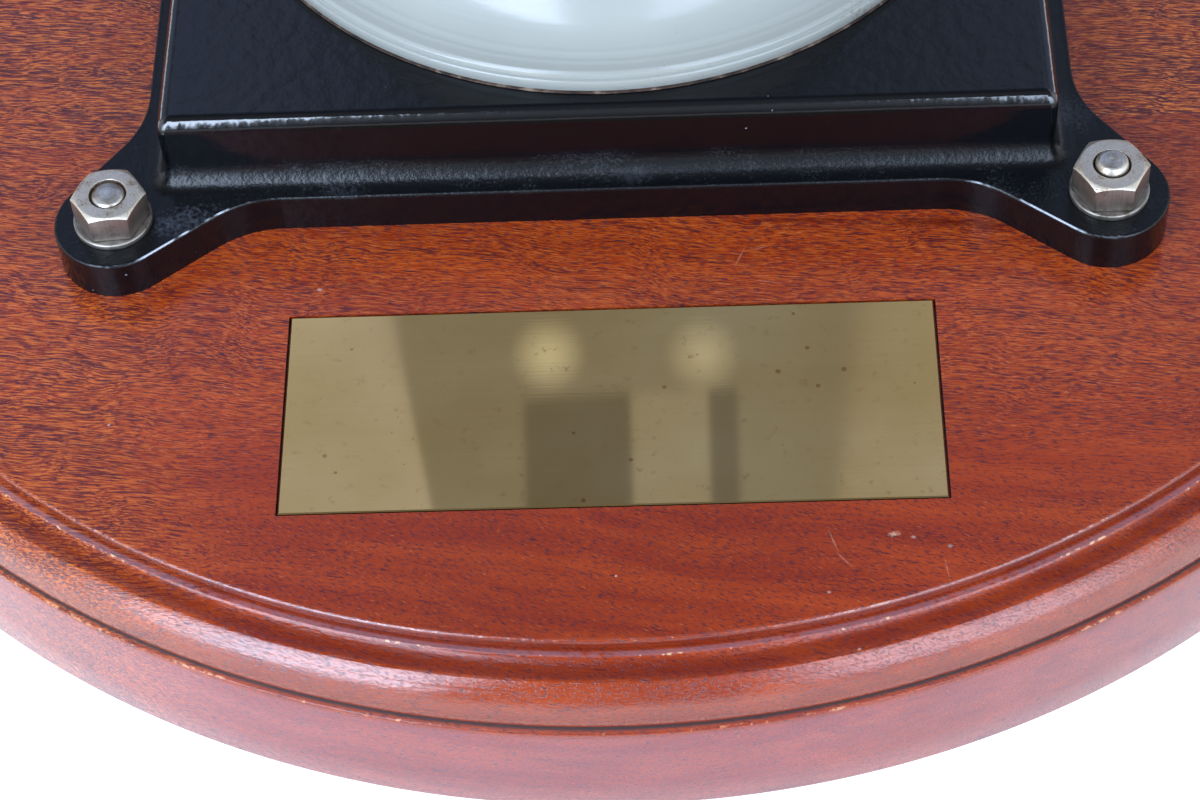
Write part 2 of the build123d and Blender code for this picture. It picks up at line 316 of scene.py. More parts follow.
    # the wax in the quirk is dull
    quirk = add(tree, "MapRange", {"Value": z, "From Min": (ovolo_level + 0.1) * MM,
                                   "From Max": (ovolo_level - 0.15) * MM})
    above_band = add(tree, "MapRange", {"Value": z, "From Min": (band_level - 0.1) * MM,
                                        "From Max": (band_level + 0.15) * MM})
    dull = add(tree, "Math", {0: quirk, 1: above_band}, operation="MULTIPLY")
    gloss = add(tree, "Math", {0: dull, 1: 0.55, 2: gloss}, operation="MULTIPLY_ADD")
    tree.links.new(gloss.outputs[0], shader.inputs["Roughness"])
    # the top arris and the shoulder of the ovolo, which the pad reaches best, carry a second gloss
    shoulder = add(tree, "MapRange", {"Value": radius, "From Min": (bead_radius - 0.2) * MM,
                                      "From Max": (bead_radius + 0.6) * MM})
    lower = add(tree, "MapRange", {"Value": z, "From Min": (plinth_top - 6.6) * MM,
                                   "From Max": (plinth_top - 4.6) * MM})
    shoulder = add(tree, "Math", {0: shoulder, 1: lower}, operation="MULTIPLY")
    off = add(tree, "Math", {0: radius, 1: -(disc_radius - 0.2) * MM}, operation="ADD")
    off = add(tree, "Math", {0: off}, operation="ABSOLUTE")
    arris = add(tree, "MapRange", {"Value": off, "From Min": 0.45 * MM, "From Max": 0.25 * MM})
    padded = add(tree, "Math", {0: shoulder, 1: arris}, operation="MAXIMUM")
    tree.links.new(padded.outputs[0], shader.inputs["Coat Weight"])
    ripple = add(tree, "Bump", {"Height": relief, "Strength": 0.9, "Distance": 0.09 * MM})
    tree.links.new(ripple.outputs[0], shader.inputs["Coat Normal"])
    shader.inputs["Coat Roughness"].default_value = 0.09
    shader.inputs["IOR"].default_value = 1.5
    return material


def black_enamel():
    """Black enamel flowed over a rough iron casting: a deep gloss with orange peel on the flats,
    the casting's grain coming through in the fillets, and dust, worn lugs and chipped arrises
    with a painted highlight along them."""
    material, tree, shader, place = start_material("black_enamel_on_cast_iron")
    x, y, z = add(tree, "SeparateXYZ", {0: place}).outputs
    normal = add(tree, "NewGeometry").outputs["Normal"]
    # level is 1 on a flat that faces up and 0 on an upright face
    level = add(tree, "SeparateXYZ", {0: normal}).outputs["Z"]
    hollow = add(tree, "MapRange", {"Value": z, "From Min": (flange_top + 4.0) * MM,
                                    "From Max": (flange_top + 2.0) * MM},
                 interpolation_type="SMOOTHSTEP")
    above = add(tree, "Math", {0: z, 1: (flange_top - 0.5) * MM}, operation="GREATER_THAN")
    hollow = add(tree, "Math", {0: hollow, 1: above}, operation="MULTIPLY")
    peel = add(tree, "TexNoise", {"Vector": place, "Scale": 0.52 / MM, "Detail": 2.0})
    grit = add(tree, "TexNoise",
               {"Vector": place, "Scale": 1.6 / MM, "Detail": 3.0, "Roughness": 0.6})
    grains = add(tree, "Math", {0: grit, 1: hollow}, operation="MULTIPLY")
    relief = add(tree, "Math", {0: grains, 1: 1.1, 2: peel}, operation="MULTIPLY_ADD")
    bump = add(tree, "Bump", {"Height": relief, "Strength": 0.8, "Distance": 0.07 * MM})

    # dust: pale specks 0.1 to 0.3 mm across, more of them in some patches
    specks = add(tree, "TexVoronoi", {"Vector": place, "Scale": 0.42 / MM})
    spread = add(tree, "TexNoise", {"Vector": place, "Scale": 0.05 / MM, "Detail": 2.0})
    reach = add(tree, "MapRange",
                {"Value": spread, "From Min": 0.50, "From Max": 0.75, "To Max": 0.08})
    speck = add(tree, "Math", {0: specks.outputs["Distance"], 1: reach}, operation="LESS_THAN")
    colour = glaze(tree, paint("#08090c"), speck, 0.35, "#a8b0bc")

    # worn grains on the lugs and in the hollow, 0.2 mm across
    scuff = add(tree, "TexNoise",
                {"Vector": place, "Scale": 2.6 / MM, "Detail": 3.0, "Roughness": 0.7})
    patch = add(tree, "TexNoise", {"Vector": place, "Scale": 0.13 / MM, "Detail": 2.0})
    worn = add(tree, "Math", {0: patch, 1: 0.8, 2: scuff}, operation="MULTIPLY_ADD")
    worn = add(tree, "MapRange", {"Value": worn, "From Min": 0.99, "From Max": 1.16})
    worn = add(tree, "Math", {0: worn, 1: hollow}, operation="MULTIPLY")
    colour = glaze(tree, colour, worn, 0.05, "#a9b2c0")
    for mid_x, mid_y, length, width, depth, turn, strength in (
        (-53.5, -57.0, 6.0, 3.2, 1.3, 20, 0.15),                # inside the left front lug
        (-62.5, -68.4, 5.0, 1.8, 1.3, 0, 0.06),                 # its rim
        (50.5, -48.4, 3.0, 1.6, 1.6, 30, 0.08),                 # the box's right front corner
        (59.5, -44.2, 3.4, 2.6, 1.3, -60, 0.07),                # behind the right front lug
        (3.0, -52.4, 4.0, 1.4, 1.3, 0, 0.04),                   # the front hollow
        (-61.0, 68.0, 5.0, 3.0, 1.3, 10, 0.08),                 # the two lugs at the back
        (55.0, 65.0, 5.0, 2.4, 1.3, 60, 0.06),
    ):
        middle = (mid_x, mid_y, flange_top + 1.0)
        size = (length, width, depth)
        colour = blotch(tree, place, colour, middle, size, turn, strength, "#aab3c2")

    # the flange's top arris, chipped to a pale line along the lugs' flanks; the pale line is partly
    # a painted highlight where the arris catches the lamps
    edge = add(tree, "MapRange", {"Value": level, "From Min": 0.40, "From Max": 0.60})
    tilted = add(tree, "MapRange", {"Value": level, "From Min": 0.97, "From Max": 0.90})
    low = add(tree, "Math", {0: z, 1: (flange_top + 0.05) * MM}, operation="LESS_THAN")
    edge = add(tree, "Math", {0: edge, 1: tilted}, operation="MULTIPLY")
    edge = add(tree, "Math", {0: edge, 1: low}, operation="MULTIPLY")
    waves = add(tree, "TexNoise",
                {"Vector": place, "Scale": 0.15 / MM, "Detail": 3.0, "Roughness": 0.6})
    chips_and_painted_highlight = add(tree, "MapRange", {"Value": waves, "From Min": 0.43, "From Max": 0.49})
    edge = add(tree, "Math", {0: edge, 1: chips_and_painted_highlight}, operation="MULTIPLY")
    beyond = add(tree, "Math", {0: y, 1: bed_y * MM}, operation="SUBTRACT")
    beyond = add(tree, "Math", {0: beyond}, operation="ABSOLUTE")
    beyond = add(tree, "MapRange", {"Value": beyond, "From Min": (bed_reach + 0.3) * MM,
                                    "From Max": (bed_reach + 0.9) * MM})
    inner = add(tree, "Math", {0: x}, operation="ABSOLUTE")
    inner = add(tree, "MapRange", {"Value": inner, "From Min": 59.2 * MM, "From Max": 58.0 * MM})
    edge = add(tree, "Math", {0: edge, 1: beyond}, operation="MULTIPLY")
    edge = add(tree, "Math", {0: edge, 1: inner}, operation="MULTIPLY")
    colour = glaze(tree, colour, edge, 0.85, "#c3c9d2")
    tree.links.new(colour.outputs[2], shader.inputs["Base Color"])

    gloss = add(tree, "MapRange", {"Value": hollow, "To Min": 0.16, "To Max": 0.30})
    tree.links.new(gloss.outputs[0], shader.inputs["Roughness"])
    tree.links.new(bump.outputs[0], shader.inputs["Normal"])
    tree.links.new(bump.outputs[0], shader.inputs["Coat Normal"])
    shader.inputs["IOR"].default_value = 1.39
    # the enamel drew thick over the rounded edges and thin on the flats and the upright faces
    rounded = add(tree, "MapRange", {"Value": level, "From Min": 0.985, "From Max": 0.93})
    upright = add(tree, "MapRange", {"Value": level, "From Min": 0.42, "From Max": 0.66})
    thick = add(tree, "Math", {0: rounded, 1: upright}, operation="MULTIPLY")
    raised = add(tree, "MapRange", {"Value": z, "From Min": (flange_top + 4.5) * MM,
                                    "From Max": (flange_top + 7.5) * MM, "To Min": 0.12})
    thick = add(tree, "Math", {0: thick, 1: raised}, operation="MULTIPLY")
    tree.links.new(thick.outputs[0], shader.inputs["Coat Weight"])
    shader.inputs["Coat Roughness"].default_value = 0.10
    shader.inputs["Coat IOR"].default_value = 1.75
    return material


def pale_enamel():
    """Grey green machinery enamel on turned iron: full gloss over faint lathe rings, with brown
    handling dirt in the corners of the moulding."""
    material, tree, shader, place = start_material("pale_enamel_on_turned_iron")
    centred = add(tree, "Mapping", {"Vector": place, "Location": (0, -bed_y * MM, 0)})
    x, y, z = add(tree, "SeparateXYZ", {0: centred}).outputs
    turns = add(tree, "Math", {0: span(tree, x, y), 1: 1.5 / MM}, operation="MULTIPLY")
    rings = add(tree, "TexNoise", {"W": turns, "Scale": 1.0, "Detail": 2.0}, noise_dimensions="1D")
    clouds = add(tree, "TexNoise", {"Vector": place, "Scale": 0.06 / MM, "Detail": 3.0})
    colour = add(tree, "Mix", {0: clouds, 6: paint("#a0a29b"), 7: paint("#acada4")},
                 data_type="RGBA")
    # painted shade: the enamel is darkened towards the foot's base, to 0.84 below the step
    shade = add(tree, "MapRange", {"Value": z, "From Min": (foot_base + 2.0) * MM,
                                   "From Max": (foot_base + 5.0) * MM, "To Min": 0.84})
    colour = add(tree, "VectorMath", {0: colour, 3: shade}, operation="SCALE")
    dirt = add(tree, "TexNoise",
               {"Vector": place, "Scale": 1.7 / MM, "Detail": 3.0, "Roughness": 0.7})
    drift = add(tree, "TexNoise", {"Vector": place, "Scale": 0.095 / MM, "Detail": 2.0})
    low = add(tree, "MapRange", {"Value": z, "From Min": (foot_base + 3.2) * MM,
                                 "From Max": (foot_base + 1.6) * MM, "To Max": 0.10})
    grime = add(tree, "Math", {0: dirt, 1: drift}, operation="ADD")
    grime = add(tree, "Math", {0: grime, 1: low}, operation="ADD")
    mask = add(tree, "MapRange", {"Value": grime, "From Min": 1.31, "From Max": 1.42})
    colour = glaze(tree, colour, mask, 0.5, "#7a6853")
    tree.links.new(colour.outputs[2], shader.inputs["Base Color"])
    peel = add(tree, "TexNoise", {"Vector": place, "Scale": 0.42 / MM, "Detail": 2.0})
    relief = add(tree, "Math", {0: rings, 1: 0.6, 2: peel}, operation="MULTIPLY_ADD")
    bump = add(tree, "Bump", {"Height": relief, "Strength": 0.6, "Distance": 0.03 * MM})
    tree.links.new(bump.outputs[0], shader.inputs["Normal"])
    shader.inputs["Roughness"].default_value = 0.17
    shader.inputs["IOR"].default_value = 1.5
    return material


def aged_brass():
    """Engraver's brass sheet brushed along its length, its lacquer long gone: olive tarnish with
    pin-head brown spots, duller towards the ends, polished by fingers in the middle."""
    material, tree, shader, place = start_material("aged_brushed_brass")
    from_middle = add(tree, "SeparateXYZ", {0: place}).outputs["X"]
    from_middle = add(tree, "Math", {0: from_middle}, operation="ABSOLUTE")
    # brush lines 0.15 mm apart, coarser than the real ones so that they show
    along = add(tree, "Mapping", {"Vector": place, "Scale": cell(24, 0.15)})
    brushed = add(tree, "TexNoise", {"Vector": along, "Scale": 1.0, "Detail": 3.0})
    stain = add(tree, "TexNoise",
                {"Vector": place, "Scale": 0.04 / MM, "Detail": 3.0, "Roughness": 0.55})
    freckle = add(tree, "TexNoise",
                  {"Vector": place, "Scale": 0.7 / MM, "Detail": 3.0, "Roughness": 0.7})
    colour = add(tree, "ValToRGB", {0: stain},
                 stops=[(0.32, paint("#dcb36d")), (0.52, paint("#e6be7a")),
                        (0.70, paint("#eec987"))])
    grain = add(tree, "MapRange", {"Value": brushed, "From Min": 0.3, "From Max": 0.7,
                                   "To Min": 0.97, "To Max": 1.02})
    colour = add(tree, "VectorMath", {0: colour, 3: grain}, operation="SCALE")
    freckles = add(tree, "MapRange", {"Value": freckle, "From Min": 0.60, "From Max": 0.72})
    colour = glaze(tree, colour, freckles, 0.3, "#b5793f")
    spots = add(tree, "TexVoronoi", {"Vector": place, "Scale": 0.33 / MM})
    spread = add(tree, "TexNoise", {"Vector": place, "Scale": 0.07 / MM, "Detail": 2.0})
    reach = add(tree, "MapRange",
                {"Value": spread, "From Min": 0.42, "From Max": 0.72, "To Max": 0.14})
    spot = add(tree, "Math", {0: spots.outputs["Distance"], 1: reach}, operation="LESS_THAN")
    colour = glaze(tree, colour, spot, 0.6, "#a8612c")
    # the cut edges are black with old polish
    normal = add(tree, "NewGeometry").outputs["Normal"]
    level = add(tree, "SeparateXYZ", {0: normal}).outputs["Z"]
    edge = add(tree, "MapRange", {"Value": level, "From Min": 0.9, "From Max": 0.5})
    colour = glaze(tree, colour, edge, 0.9, "#2b1d10")
    tree.links.new(colour.outputs[2], shader.inputs["Base Color"])
    # the tarnish film scatters a little of the light
    shader.inputs["Metallic"].default_value = 0.92
    ends = add(tree, "MapRange", {"Value": from_middle, "From Min": 24 * MM, "From Max": 36 * MM,
                                  "To Min": 0.022, "To Max": 0.10})
    gloss = add(tree, "Math", {0: freckles, 1: 0.05, 2: ends}, operation="MULTIPLY_ADD")
    tree.links.new(gloss.outputs[0], shader.inputs["Roughness"])
    bump = add(tree, "Bump", {"Height": brushed, "Strength": 0.2, "Distance": 0.0015 * MM})
    tree.links.new(bump.outputs[0], shader.inputs["Normal"])
    return material


def milled_steel():
    """Free-cutting mild steel milled to a hexagon: grey flats with upright cutter lines, a finely
    pitted top, and a warm brown bloom of old rust in patches."""
    material, tree, shader, place = start_material("milled_mild_steel")
    # cutter lines 0.16 mm apart and 7 mm tall
    upright = add(tree, "Mapping", {"Vector": place, "Scale": cell(0.16, 0.16, 7)})
    cutter = add(tree, "TexNoise", {"Vector": upright, "Scale": 1.0, "Detail": 2.0})
    pits = add(tree, "TexNoise",
               {"Vector": place, "Scale": 3.2 / MM, "Detail": 2.0, "Roughness": 0.6})
    bloom = add(tree, "TexNoise",
                {"Vector": place, "Scale": 0.38 / MM, "Detail": 3.0, "Roughness": 0.6})
    colour = add(tree, "ValToRGB", {0: bloom},
                 stops=[(0.34, paint("#cdb89e")), (0.44, paint("#ebddc9")),
                        (0.66, paint("#f4ead8"))])
    lined = add(tree, "MapRange",
                {"Value": cutter, "From Min": 0.3, "From Max": 0.7, "To Min": 0.78, "To Max": 1.12})
    colour = add(tree, "VectorMath", {0: colour, 3: lined}, operation="SCALE")
    rust = add(tree, "Math", {0: pits, 1: bloom}, operation="ADD")
    rust = add(tree, "MapRange", {"Value": rust, "From Min": 0.84, "From Max": 0.74})
    colour = glaze(tree, colour, rust, 0.6, "#6b4d3a")
    # painted shade: the upright flats are darkened against the top
    normal = add(tree, "NewGeometry").outputs["Normal"]
    level = add(tree, "SeparateXYZ", {0: normal}).outputs["Z"]
    painted_shade_on_flats = add(tree, "MapRange", {"Value": level, "From Min": 0.35, "From Max": 0.15})
    colour = glaze(tree, colour, painted_shade_on_flats, 0.66, "#55565a")
    tree.links.new(colour.outputs[2], shader.inputs["Base Color"])
    shader.inputs["Metallic"].default_value = 1.0
    gloss = add(tree, "MapRange",
                {"Value": bloom, "From Min": 0.3, "From Max": 0.7, "To Min": 0.50, "To Max": 0.40})
    tree.links.new(gloss.outputs[0], shader.inputs["Roughness"])
    relief = add(tree, "Math", {0: pits, 1: 0.5, 2: cutter}, operation="MULTIPLY_ADD")
    bump = add(tree, "Bump", {"Height": relief, "Strength": 0.5, "Distance": 0.02 * MM})
    tree.links.new(bump.outputs[0], shader.inputs["Normal"])
    return material


def turned_steel(name, tones, dullness):
    """Mild steel turned in the lathe: fine rings round the axis catch the light, and a little brown
    rust sits between them. from_axis is the distance from the axis; dullness is the roughness."""
    material, tree, shader, place = start_material(name)
    axis = add(tree, "Attribute", attribute_name="from_axis").outputs["Fac"]
    turns = add(tree, "Math", {0: axis, 1: 5.2 / MM}, operation="MULTIPLY")
    rings = add(tree, "TexNoise", {"W": turns, "Scale": 1.0, "Detail": 2.0}, noise_dimensions="1D")
    bloom = add(tree, "TexNoise",
                {"Vector": place, "Scale": 0.6 / MM, "Detail": 3.0, "Roughness": 0.6})
    colour = add(tree, "ValToRGB", {0: bloom},
                 stops=[(0.34, paint(tones[0])), (0.48, paint(tones[1])), (0.66, paint(tones[2]))])
    lined = add(tree, "MapRange",
                {"Value": rings, "From Min": 0.3, "From Max": 0.7, "To Min": 0.72, "To Max": 1.12})
    colour = add(tree, "VectorMath", {0: colour, 3: lined}, operation="SCALE")
    tree.links.new(colour.outputs[0], shader.inputs["Base Color"])
    shader.inputs["Metallic"].default_value = 1.0
    shader.inputs["Roughness"].default_value = dullness
    bump = add(tree, "Bump", {"Height": rings, "Strength": 0.6, "Distance": 0.03 * MM})
    tree.links.new(bump.outputs[0], shader.inputs["Normal"])
    return material


def rusty_thread():
    """The last turns of thread in a nut, greasy and rusted: matt dark brown."""
    material, tree, shader, place = start_material("rusty_greased_thread")
    grease = add(tree, "TexNoise",
                 {"Vector": place, "Scale": 1.5 / MM, "Detail": 3.0, "Roughness": 0.7})
    colour = add(tree, "ValToRGB", {0: grease},
                 stops=[(0.40, paint("#3b2f26")), (0.62, paint("#75604d"))])
    tree.links.new(colour.outputs[0], shader.inputs["Base Color"])
    shader.inputs["Roughness"].default_value = 0.6
    return material


def green_baize():
    """Woollen baize, felted: matt dark green with a fine fuzzy mottle."""
    material, tree, shader, place = start_material("felted_green_baize")
    fuzz = add(tree, "TexNoise",
               {"Vector": place, "Scale": 1.6 / MM, "Detail": 3.0, "Roughness": 0.7})
    colour = add(tree, "ValToRGB", {0: fuzz},
                 stops=[(0.35, paint("#12261a")), (0.65, paint("#24452f"))])
    tree.links.new(colour.outputs[0], shader.inputs["Base Color"])
    bump = add(tree, "Bump", {"Height": fuzz, "Strength": 0.8, "Distance": 0.3 * MM})
    tree.links.new(bump.outputs[0], shader.inputs["Normal"])
    shader.inputs["Roughness"].default_value = 0.95
    shader.inputs["Sheen Weight"].default_value = 0.4
    return material


def oiled_paper():
    """Brown jointing paper soaked in oil: its cut edge shows as a thin rusty line with pale
    dust."""
    material, tree, shader, place = start_material("oiled_jointing_paper")
    stain = add(tree, "TexNoise",
                {"Vector": place, "Scale": 0.42 / MM, "Detail": 3.0, "Roughness": 0.6})
    colour = add(tree, "ValToRGB", {0: stain},
                 stops=[(0.36, paint("#1c1512")), (0.54, paint("#49352a")),
                        (0.70, paint("#8f7d6b"))])
    tree.links.new(colour.outputs[0], shader.inputs["Base Color"])
    shader.inputs["Roughness"].default_value = 0.7
    return material


# the front board's marks: centre, half length and width, turn, strength and colour
scars = [((x, y, plinth_top), (length, width, 3.0), turn, strength, code)
         for x, y, length, width, turn, strength, code in (
             (-61.5, -84.5, 0.28, 0.2, 60, 0.6, "#cfc4c0"),
             (-36.6, -64.1, 0.4, 0.25, 0, 0.6, "#d9b7a5"),
             (16.2, -60.8, 1.6, 0.14, 66, 0.4, "#cf8d70"),
             (18.6, -59.4, 1.8, 0.12, 14, 0.35, "#cf8d70"),
             (19.8, -64.9, 2.2, 0.12, -10, 0.3, "#cf8d70"),
             (-9.4, -103.2, 0.5, 0.4, 0, 0.7, "#2a2024"),
             (25.2, -111.7, 0.3, 0.25, 0, 0.6, "#d9b7a5"),
             (33.2, -103.7, 0.7, 0.4, 10, 0.7, "#dfae8c"),
             (35.4, -104.2, 0.4, 0.25, 0, 0.5, "#e0b8a0"),
             (39.6, -105.6, 0.35, 0.35, 0, 0.45, "#b3aea0"),
             (26.0, -104.4, 1.8, 0.12, -72, 0.35, "#d39c80"),
             (27.2, -107.2, 1.6, 0.12, -50, 0.35, "#d39c80"),
             (39.1, -109.0, 1.5, 0.11, -82, 0.3, "#d39c80"),
             (28.4, -118.4, 0.3, 0.2, 0, 0.6, "#d9b7a5"),
             # dark red streaks along the flange's front edge
             (24.0, -55.0, 9.0, 0.5, -2, 0.55, "#5a140c"),
             (40.5, -55.9, 7.5, 1.0, -3, 0.60, "#551009"),
             (47.5, -56.6, 4.5, 1.2, -8, 0.50, "#551009"),
         )]
front_wood = french_polished_mahogany(
    "french_polished_mahogany_front", shift=(0.31, 0.12, 0.0), slope=8,
    figure_left=0.75, figure_right=0.15, slanted=1.0, marks=scars)
middle_wood = french_polished_mahogany(
    "french_polished_mahogany_middle", shift=(1.27, 0.83, 0.2), slope=5,
    figure_left=1.0, figure_right=1.15, slanted=0.0)
back_wood = french_polished_mahogany(
    "french_polished_mahogany_back", shift=(2.11, 1.47, 0.5), slope=-4,
    figure_left=0.5, figure_right=0.9, slanted=0.0)
enamel = black_enamel()
foot_enamel = pale_enamel()
brass = aged_brass()
nut_steel = milled_steel()
stud_steel = turned_steel("turned_mild_steel", ("#b39d84", "#d6cec2", "#e6e1d9"), 0.38)
washer_steel = turned_steel("dulled_mild_steel_washer", ("#7d7266", "#a39c93", "#b5afa6"), 0.48)
thread = rusty_thread()
baize = green_baize()
paper = oiled_paper()


# ---------------------------------------------------------------------------- modelling helpers
def close_up(bm, name, materials, replaced, flat_over, axis=None):
    """Turns a finished bmesh into a piece of the object that stands for its CAD nodes. axis is the
    centre of a turned piece, whose distance every point then carries."""
    bmesh.ops.remove_doubles(bm, verts=bm.verts, dist=1e-7)
    bmesh.ops.recalc_face_normals(bm, faces=bm.faces)
    mesh = bpy.data.meshes.new(name)
    bm.to_mesh(mesh)
    bm.free()
    for material in materials:
        mesh.materials.append(material)
    mesh.shade_smooth()
    mesh.set_sharp_from_angle(angle=radians(flat_over))
    if axis:
        distance = mesh.attributes.new("from_axis", "FLOAT", "POINT")
        for point, value in zip(mesh.vertices, distance.data):
            value.value = hypot(point.co.x - axis[0] * MM, point.co.y - axis[1] * MM)
    piece = bpy.data.objects.new(name, mesh)
    bpy.context.scene.collection.objects.link(piece)
    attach(piece, "root")
    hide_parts(*replaced)
    return piece


def bulged(start, end, bulge, steps):
    """Points along an arc from start to end, its middle off the chord to the left by bulge."""
    (x0, y0), (x1, y1) = start, end
    chord = hypot(x1 - x0, y1 - y0)
    radius = (chord * chord / 4 + bulge * bulge) / (2 * abs(bulge))
    side = 1 if bulge > 0 else -1
    nx, ny = -(y1 - y0) / chord * side, (x1 - x0) / chord * side
    cx = (x0 + x1) / 2 - nx * (radius - abs(bulge))
    cy = (y0 + y1) / 2 - ny * (radius - abs(bulge))
    start_angle = atan2(y0 - cy, x0 - cx)
    sweep = (atan2(y1 - cy, x1 - cx) - start_angle + pi) % (2 * pi) - pi
    angles = [start_angle + sweep * k / steps for k in range(steps + 1)]
    return [(cx + radius * cos(angle), cy + radius * sin(angle)) for angle in angles]


def turned(profile, steps, centre=(0.0, 0.0)):
    """Spins a profile of (radius, level) pairs in millimetres round an upright axis."""
    bm = bmesh.new()
    chain = [bm.verts.new(((centre[0] + r) * MM, centre[1] * MM, z * MM)) for r, z in profile]
    edges = [bm.edges.new((a, b)) for a, b in zip(chain, chain[1:])]
    # one twelfth is spun and then repeated, which is much quicker than one long spin
    axis = {"cent": (centre[0] * MM, centre[1] * MM, 0), "axis": (0, 0, 1)}
    bmesh.ops.spin(bm, geom=chain + edges, angle=pi / 6, steps=steps // 12, **axis)
    bmesh.ops.spin(bm, geom=bm.faces[:], angle=11 * pi / 6, steps=11, use_duplicate=True, **axis)
    bmesh.ops.remove_doubles(bm, verts=bm.verts, dist=1e-7)
    return bm


def slice_off(bm, point, normal):
    """Cuts away what lies beyond a plane, and closes the cut."""
    cut = bmesh.ops.bisect_plane(bm, geom=bm.verts[:] + bm.edges[:] + bm.faces[:], plane_co=point,
                                 plane_no=normal, clear_outer=True, dist=1e-8)
    rim = [e for e in cut["geom_cut"] if isinstance(e, bmesh.types.BMEdge) and e.is_boundary]
    bmesh.ops.contextual_create(bm, geom=rim)


# ---------------------------------------------------------------------------- plinth
def plinth_profile():
    """The plinth's edge from its top arris down and round to the underside."""
    points = [(disc_radius - 1.2, plinth_top), (disc_radius - 0.50, plinth_top),
              (disc_radius - 0.34, plinth_top - 0.02), (disc_radius - 0.20, plinth_top - 0.08),
              (disc_radius - 0.09, plinth_top - 0.17), (disc_radius - 0.02, plinth_top - 0.29),
              (disc_radius + 0.02, plinth_top - 0.44), (disc_radius + 0.05, plinth_top - 0.66),
              (disc_radius + 0.09, step_level), (disc_radius + 0.50, step_level),
              (ledge_radius - 0.22, step_level - 0.01), (ledge_radius - 0.08, step_level - 0.04),
              (ledge_radius, step_level - 0.12)]
    points += bulged((ledge_radius + 0.03, step_level - 0.18),
                     (bead_radius - 0.22, bead_level + 0.02), -0.22, 12)
    points += [(bead_radius - 0.12, bead_level + 0.01), (bead_radius, bead_level - 0.06)]
    roll = bulged((bead_radius + 0.14, bead_level - 0.08), (ovolo_radius, ovolo_level), 1.0, 40)
    mark = roll.index(min(roll, key=lambda spot: abs(spot[1] - plinth_top + 3.0)))
    roll[mark] = (roll[mark][0] - 0.05, roll[mark][1] - 0.03)
    points += roll
    points += [(ovolo_radius - 0.05, ovolo_level - 0.12), (quirk_radius + 0.04, quirk_level + 0.14),
               (quirk_radius, quirk_level + 0.02), (quirk_radius + 0.10, quirk_level - 0.06),
               (plinth_radius - 0.26, band_level), (plinth_radius - 0.10, band_level - 0.04),
               (plinth_radius - 0.02, band_level - 0.15), (plinth_radius, band_level - 0.30),
               (plinth_radius, band_level - 5.0), (plinth_radius, band_level - 11.0),
               (plinth_radius, plinth_under + 0.22), (plinth_radius - 0.06, plinth_under + 0.06),
               (plinth_radius - 0.20, plinth_under), (plinth_radius - 3, plinth_under)]
    return points


whole_plinth = turned(plinth_profile(), 600)
for rim in (plinth_top, plinth_under):
    loop = [e for e in whole_plinth.edges
            if e.is_boundary and abs(e.verts[0].co.z - rim * MM) < 1e-6]
    bmesh.ops.contextual_create(whole_plinth, geom=loop)
bmesh.ops.recalc_face_normals(whole_plinth, faces=whole_plinth.faces)


def plinth_board(near, far, sunk=None):
    """One board of the plinth: the whole round sawn at its glue joints, and sunk for the brass
    plate if asked."""
    bm = whole_plinth.copy()
    for cut, outward in ((near, -1), (far, 1)):
        if cut is not None:
            slice_off(bm, (0, cut * MM, 0), (0, outward, 0))
    if sunk:
        low_x, low_y, high_x, high_y, depth = sunk
        for at, across in (((low_x, 0, 0), (1, 0, 0)), ((high_x, 0, 0), (1, 0, 0)),
                           ((0, low_y, 0), (0, 1, 0)), ((0, high_y, 0), (0, 1, 0))):
            tops = [f for f in bm.faces if f.normal.z > 0.9
                    and f.calc_center_median().z > (plinth_top - 0.01) * MM]
            geom = dict.fromkeys(part for f in tops for part in (f, *f.edges, *f.verts))
            bmesh.ops.bisect_plane(bm, geom=list(geom), plane_co=Vector(at) * MM, plane_no=across,
                                   dist=1e-7)
        middle = Vector(((low_x + high_x) / 2, (low_y + high_y) / 2, plinth_top)) * MM
        floor = [f for f in bm.faces if (f.calc_center_median() - middle).length < 1e-4]
        lowered = bmesh.ops.extrude_face_region(bm, geom=floor)
        bmesh.ops.delete(bm, geom=floor, context="FACES_ONLY")
        corners = [v for v in lowered["geom"] if isinstance(v, bmesh.types.BMVert)]
        bmesh.ops.translate(bm, verts=corners, vec=(0, 0, -depth * MM))
    return bm


plate_low, plate_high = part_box("name_plate")
sinking = (plate_low.x / MM - plate_gap, plate_low.y / MM - plate_gap,
           plate_high.x / MM + plate_gap, plate_high.y / MM + plate_gap, sinking_depth)
for side, near, far, sunk, wood in (
    ("front", None, -joint_y, sinking, front_wood),
    ("middle", -joint_y, joint_y, None, middle_wood),
    ("back", joint_y, None, None, back_wood),
):
    close_up(plinth_board(near, far, sunk), side + "_board_turned", [wood],
             ["plinth_" + side + "_board"], 50)
whole_plinth.free()


